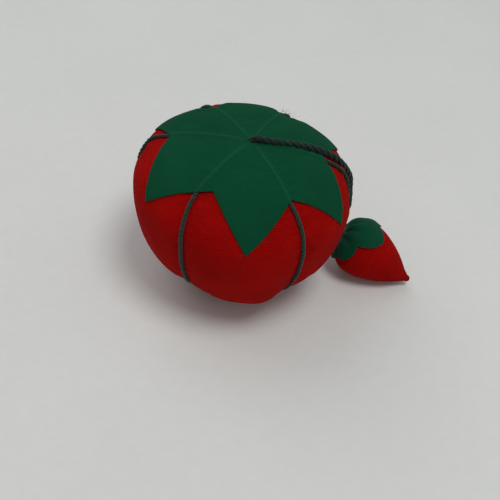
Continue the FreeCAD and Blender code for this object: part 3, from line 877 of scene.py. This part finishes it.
def berry_relief(phi, arc):
    q = np.stack([np.cos(phi) * 1.6, np.sin(phi) * 1.6, arc / 6.0], -1).reshape(-1, 3)
    h = 0.13 * value_noise(q, 51).reshape(phi.shape)
    # gathered at the blunt end
    k = smoothstep(10.5, 3.0, arc)
    h = h + 0.20 * k * np.sin(phi * 17 + 1.3 * value_noise(np.stack([np.cos(phi) * 2, np.sin(phi) * 2, arc / 5], -1).reshape(-1, 3), 52).reshape(phi.shape))
    # seam under the side, and the cloth drawn to a point
    d = (phi - math.radians(128) + PI) % (2 * PI) - PI
    r = np.interp(arc, B_ARC, B_R)
    h = h - 0.28 * np.exp(-(d * np.maximum(r, 1.0) / 0.55) ** 2) * smoothstep(6, 12, arc)
    h = h + 0.10 * np.exp(-((np.abs(d) * np.maximum(r, 1.0) - 1.1) / 0.6) ** 2) * smoothstep(6, 12, arc)
    return h


def make_berry():
    nc, total = 128, B_ARC[-1]
    arc = np.concatenate([np.linspace(1.0, total - 4.0, 88), np.linspace(total - 3.85, total - 0.02, 26)])
    nr = len(arc)
    phi = np.linspace(0, 2 * PI, nc, endpoint=False)
    P, S = np.meshgrid(phi, arc)
    h = berry_relief(P, S)
    p = berry_point(P, S, h)
    # the tip: the cloth is tucked in, so it ends in a small rounded nub that turns up a little
    back = smoothstep(total - 5.0, total - 0.5, S)
    along = ((p - POLE) @ AXIS)
    nub = 1.15 * np.sqrt(np.clip((total - S) / 1.3, 0, 1)) * (1 + 0.16 * np.sin(3 * P + 0.6))
    rad = p - POLE - along[..., None] * AXIS
    rl = np.linalg.norm(rad, axis=-1)
    want = np.maximum(rl, nub * smoothstep(total - 3.4, total - 1.9, S))
    rad = rad * (want / np.maximum(rl, 1e-6))[..., None]
    along2 = along + 0.7 * smoothstep(total - 6.0, total, S)
    p = POLE + along2[..., None] * AXIS + rad + back[..., None] * UPV * 0.55
    p[..., 2] = np.maximum(p[..., 2], 0.02 + 0.03 * np.abs(np.sin(P * 9)))
    f, fi, fj = grid_faces(nc, nr)
    f = f[:, ::-1]
    n = nc * nr
    tip = p[-1].mean(0) + AXIS * 0.12
    verts = np.concatenate([p.reshape(-1, 3), tip[None]]) * MM
    around = BERRY_R * np.linspace(0, 2 * PI, nc + 1)
    u0, u1, v0, v1 = around[fj] * MM, around[fj + 1] * MM, arc[fi] * MM, arc[fi + 1] * MM
    uv = np.stack([np.stack([u1, v0], -1), np.stack([u1, v1], -1), np.stack([u0, v1], -1), np.stack([u0, v0], -1)], 1)
    j = np.arange(nc)
    last = (nr - 1) * nc
    tris = [(last + int(b), last + int((b + 1) % nc), n) for b in j]
    faces = f.tolist() + tris
    uv_all = np.concatenate([uv.reshape(-1, 2), np.zeros((3 * nc, 2)) + [0.01, 0.03]])
    ob = mesh_object("strawberry_cloth", verts, faces, uv_all, True, [berry_cloth])
    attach(ob, "strawberry")
    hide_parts("strawberry_cover")
    return ob


# petals of the cap: middle and half-width (degrees round the axis from the top), reach (mm along the cloth)
PETALS = [(-14.0, 40.0, 17.7), (34.0, 32.0, 16.0), (98.0, 34.0, 13.5), (168.0, 34.0, 12.0), (-72.0, 38.0, 11.4)]
PETAL_NOTCH = 8.5


def cap_reach(phi):
    out = np.full_like(phi, PETAL_NOTCH)
    for c, half, reach in PETALS:
        d = np.abs((np.degrees(phi) - c + 180.0) % 360.0 - 180.0)
        k = np.clip(1 - (d / half) ** 2, 0, 1) ** 0.7
        out = np.maximum(out, PETAL_NOTCH + (reach - PETAL_NOTCH) * k)
    return out


def make_cap():
    nc, nr = 300, 46
    phi = np.linspace(0, 2 * PI, nc, endpoint=False)
    edge = cap_reach(phi)
    edge = edge + 0.10 * value_noise(np.stack([np.cos(phi) * 9, np.sin(phi) * 9, phi * 0], -1), 61)
    a0 = 0.9
    s = np.linspace(0, 1, nr)
    S = a0 + (edge[None, :] - a0) * s[:, None]
    P = np.repeat(phi[None, :], nr, 0)
    # folds between the petals and a puffed crown, the cloth is loose round the knot
    fold = np.zeros_like(P)
    for c, width in ((-55.0, 0.26), (10.0, 0.10), (66.0, 0.17), (134.0, 0.16), (-112.0, 0.20), (-20.0, 0.07)):
        d = (P - math.radians(c) + PI) % (2 * PI) - PI
        fold = np.maximum(fold, np.exp(-(np.abs(d) / width) ** 1.5))
    puff = 0.85 * np.sin(np.clip((S - 0.5) / 9.5, 0, 1) * PI) ** 0.8 * smoothstep(1.6, 6.0, S)
    q = np.stack([np.cos(P) * 3.1, np.sin(P) * 3.1, S / 5.5], -1).reshape(-1, 3)
    crease = value_noise(q, 71).reshape(P.shape)
    h = 0.32 + puff * (1 - 0.95 * fold) + 0.30 * crease * smoothstep(2.6, 6.0, S) * smoothstep(0, 3.0, edge[None, :] - S)
    lift = smoothstep(2.6, 0.0, edge[None, :] - S)
    h = h + 0.22 * lift * (0.5 + 0.5 * np.sin(P * 5 + 1.0))
    h = np.maximum(h, 0.30)
    low = berry_point(P, S, h)
    up = berry_point(P, S, h + 0.34)
    for p in (low, up):
        p[..., 2] = np.maximum(p[..., 2], 0.25)
    n = nc * nr
    f, fi, fj = grid_faces(nc, nr)
    f_up = f[:, ::-1]
    f_dn = f + n
    j = np.arange(nc)
    j2 = (j + 1) % nc
    last = (nr - 1) * nc
    rim = np.stack([last + j, last + j2, n + last + j2, n + last + j], -1)
    hole = np.stack([j2, j, n + j, n + j2], -1)
    verts = np.concatenate([up.reshape(-1, 3), low.reshape(-1, 3)]) * MM
    flat = np.stack([S * np.cos(P), S * np.sin(P)], -1).reshape(-1, 2) * MM
    both = np.concatenate([flat, flat])
    faces = np.concatenate([f_up, f_dn, rim, hole])
    uv = both[faces.reshape(-1)]
    ob = mesh_object("strawberry_cap_cloth", verts, faces, uv, True, [cap_cloth])
    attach(ob, "strawberry")
    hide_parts("strawberry_cap")
    a, b = up[:-1], up[1:]
    area = np.linalg.norm(np.cross(b - a, np.roll(a, -1, 1) - a), axis=-1).sum() * 1e-6
    print("cap area m2", area)
    return ob


def overhand_knot(name, centre, size, strand_r, mats, body, seed):
    """A small tight knot: a trefoil line with the cord's own lay."""
    u = np.linspace(0, 2 * PI, 160)
    x = np.sin(u) + 2 * np.sin(2 * u)
    y = np.cos(u) - 2 * np.cos(2 * u)
    z = -np.sin(3 * u)
    line = np.stack([x, y, z * 1.25], -1) / 3.0 * size + centre
    ob, _ = rope(name, line * MM, strand_r * MM, 2, 0.0034, mats, step=0.00022, ring=9, seed=seed, ply_share=0.56)
    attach(ob, body)
    return ob


# ------------------------------------------------------------------ loose fibres
def hairs(name, roots, directions, lengths, radius, mat, body, seed):
    rng = np.random.default_rng(seed)
    verts, faces, uvs, base = [], [], [], 0
    for p, d, l in zip(roots, directions, lengths):
        m = 9
        bend = unit(rng.normal(size=3))
        bend2 = unit(rng.normal(size=3))
        u = np.linspace(0, 1, m)
        c = p + np.outer(u, d) * l + np.outer(u ** 2, bend) * l * 0.35 + np.outer(np.sin(u * 5) * u, bend2) * l * 0.12
        t, nn, bb = rolling_frames(c, np.cross(d, bend) + 1e-3)
        ph = np.linspace(0, 2 * PI, 4, endpoint=False)
        rr = radius * (1 - 0.6 * u)
        q = c[:, None] + rr[:, None, None] * (np.cos(ph)[None, :, None] * nn[:, None] + np.sin(ph)[None, :, None] * bb[:, None])
        f, _, _ = tube_faces(m, 4, base)
        verts.append(q.reshape(-1, 3))
        faces += f.tolist()
        uvs.append(np.full((len(f) * 4, 2), 0.3))
        faces.append([base + 3, base + 2, base + 1, base])
        faces.append([base + (m - 1) * 4 + q2 for q2 in range(4)])
        uvs.append(np.full((8, 2), 0.3))
        base += m * 4
    ob = mesh_object(name, np.concatenate(verts) * MM, faces, np.concatenate(uvs), True, [mat])
    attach(ob, body)
    return ob


def make_fibres():
    rng = np.random.default_rng(12)
    az, te = calyx_edge()
    roots, dirs, lens = [], [], []
    for _ in range(150):
        k = rng.integers(len(az))
        a, t = az[k], te[k] - 0.004
        h = calyx_height(np.array([a]), np.array([t]))[0] + CALYX_T * rng.uniform(0.3, 0.9)
        p = place(np.array(a), np.array(t), np.array(h))
        out = unit(place(np.array(a), np.array(t + 0.02), np.array(h)) - p)
        nrm = unit(place(np.array(a), np.array(t), np.array(h + 1.0)) - p)
        side = np.cross(out, nrm)
        roots.append(p)
        dirs.append(unit(out * rng.uniform(0.3, 1.0) + nrm * rng.uniform(0.05, 0.6) + side * rng.normal() * 0.9))
        lens.append(rng.uniform(0.35, 1.1))
    # a few longer frayed ends where the calyx meets the back right lacing cord
    for _ in range(26):
        a, t = math.radians(66 + rng.normal() * 3.0), 0.70 + rng.normal() * 0.02
        p = place(np.array(a), np.array(t), np.array(0.55))
        nrm = unit(place(np.array(a), np.array(t), np.array(2.0)) - p)
        out = unit(place(np.array(a), np.array(t + 0.03), np.array(0.55)) - p)
        roots.append(p)
        dirs.append(unit(nrm * rng.uniform(0.2, 0.9) + out * rng.uniform(0.1, 0.9) + rng.normal(size=3) * 0.35))
        lens.append(rng.uniform(1.0, 2.6))
    hairs("calyx_frayed_fibres", roots, dirs, lens, 0.022, fibre_mat, "tomato", 5)
    # fluff on the hanging cord's upper end
    pts, s = evenly(cord_line, 0.0004)
    roots, dirs, lens = [], [], []
    t = unit(np.gradient(pts, axis=0))
    for _ in range(90):
        k = int(rng.integers(5, int(len(pts) * 0.66)))
        d = rng.normal(size=3)
        d = unit(d - t[k] * (d @ t[k]))
        roots.append(pts[k] / MM + d * 1.0)
        dirs.append(unit(d * 0.7 + t[k] * rng.normal() * 0.7))
        lens.append(rng.uniform(0.3, 0.9))
    for _ in range(16):
        d = unit(rng.normal(size=3) * [1, 1, 0.4] + [-0.8, 0, 0.15])
        roots.append(np.array([-0.1, 0.0, 56.6]) + d * 0.8)
        dirs.append(d)
        lens.append(rng.uniform(0.8, 1.7))
    hairs("hanging_cord_fluff", roots, dirs, lens, 0.020, fibre_mat, "cord_top", 6)


cover = make_cover()
make_laces()
calyx = make_calyx()
berry = make_berry()
cap = make_cap()
knot = overhand_knot("strawberry_knot_rope", KNOT, 1.25, 0.62, [hang_mat], "cord_end", 9)
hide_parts("strawberry_knot")
hanging = make_hanging_cord()
top_knot = overhand_knot("hanging_cord_anchor_knot", np.array([0, 0, 52.4]), 1.0, 0.5, [hang_mat], "tomato", 10)
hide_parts("hanging_cord_anchor")
base_knot = overhand_knot("lacing_knot_rope", np.array([0, 0, 1.65]), 1.8, 0.62, [lace_mat], "tomato", 11)
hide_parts("lacing_knot")
make_fibres()

# the pieces inside the cushion and the strawberry are the design's own, with their own finish
for node, mat in (("tomato_filling", sawdust), ("strawberry_filling", emery), ("cover_seam_thread", thread_mat),
                  ("cover_gather_top", thread_mat), ("cover_gather_bottom", thread_mat),
                  ("strawberry_seam_thread", thread_mat), ("strawberry_gather_thread", thread_mat),
                  ("segment_cord_core", grit_material("lacing_cord_core", (0.05, 0.09, 0.07), (0.01, 0.02, 0.02), 4000.0))):
    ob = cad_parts[node]
    ob.data.materials.clear()
    ob.data.materials.append(mat)

# ------------------------------------------------------------------ floor and light
def make_floor():
    m, nt, bsdf = new_material("pale_table")
    co = nt.nodes.new("ShaderNodeTexCoord")
    a = noise_node(nt, co.outputs["Object"], 260.0, 6.0, 0.65)
    b = noise_node(nt, co.outputs["Object"], 14.0, 3.0, 0.5)
    k = math_node(nt, "ADD", math_node(nt, "MULTIPLY", a, 0.5), math_node(nt, "MULTIPLY", b, 0.5))
    nt.links.new(ramp_node(nt, k, [(0.3, (0.745, 0.755, 0.735)), (0.7, (0.80, 0.81, 0.79))]), bsdf.inputs["Base Color"])
    bsdf.inputs["Roughness"].default_value = 0.75
    nt.links.new(bump_node(nt, a, 0.25, 0.0004), bsdf.inputs["Normal"])
    s = 3.0
    ob = mesh_object("floor", [(-s, -s, 0), (s, -s, 0), (s, s, 0), (-s, s, 0)], [(0, 1, 2, 3)], None, False, [m])


def area_light(name, at, to, size, power, colour=(1, 1, 1)):
    d = bpy.data.lights.new(name, "AREA")
    d.shape = "DISK"
    d.size = size
    d.energy = power
    d.color = colour
    ob = link(bpy.data.objects.new(name, d))
    ob.location = at
    ob.rotation_mode = "QUATERNION"
    ob.rotation_quaternion = (Vector(to) - Vector(at)).to_track_quat("-Z", "Y")
    return ob


make_floor()
area_light("ceiling", (0.22, -0.20, 1.0), (0, 0, 0.03), 0.42, 3.75, (1.0, 0.995, 0.98))
area_light("window", (-0.78, 0.64, 1.0), (0, 0, 0.03), 1.5, 4.8, (0.99, 0.995, 1.0))
world = bpy.data.worlds.new("studio")
scene.world = world
world.use_nodes = True
bg = world.node_tree.nodes.get("Background") or world.node_tree.nodes.new("ShaderNodeBackground")
bg.inputs["Color"].default_value = (0.93, 0.95, 0.96, 1.0)
bg.inputs["Strength"].default_value = 0.33
wout = world.node_tree.nodes.get("World Output") or world.node_tree.nodes.new("ShaderNodeOutputWorld")
world.node_tree.links.new(bg.outputs["Background"], wout.inputs["Surface"])
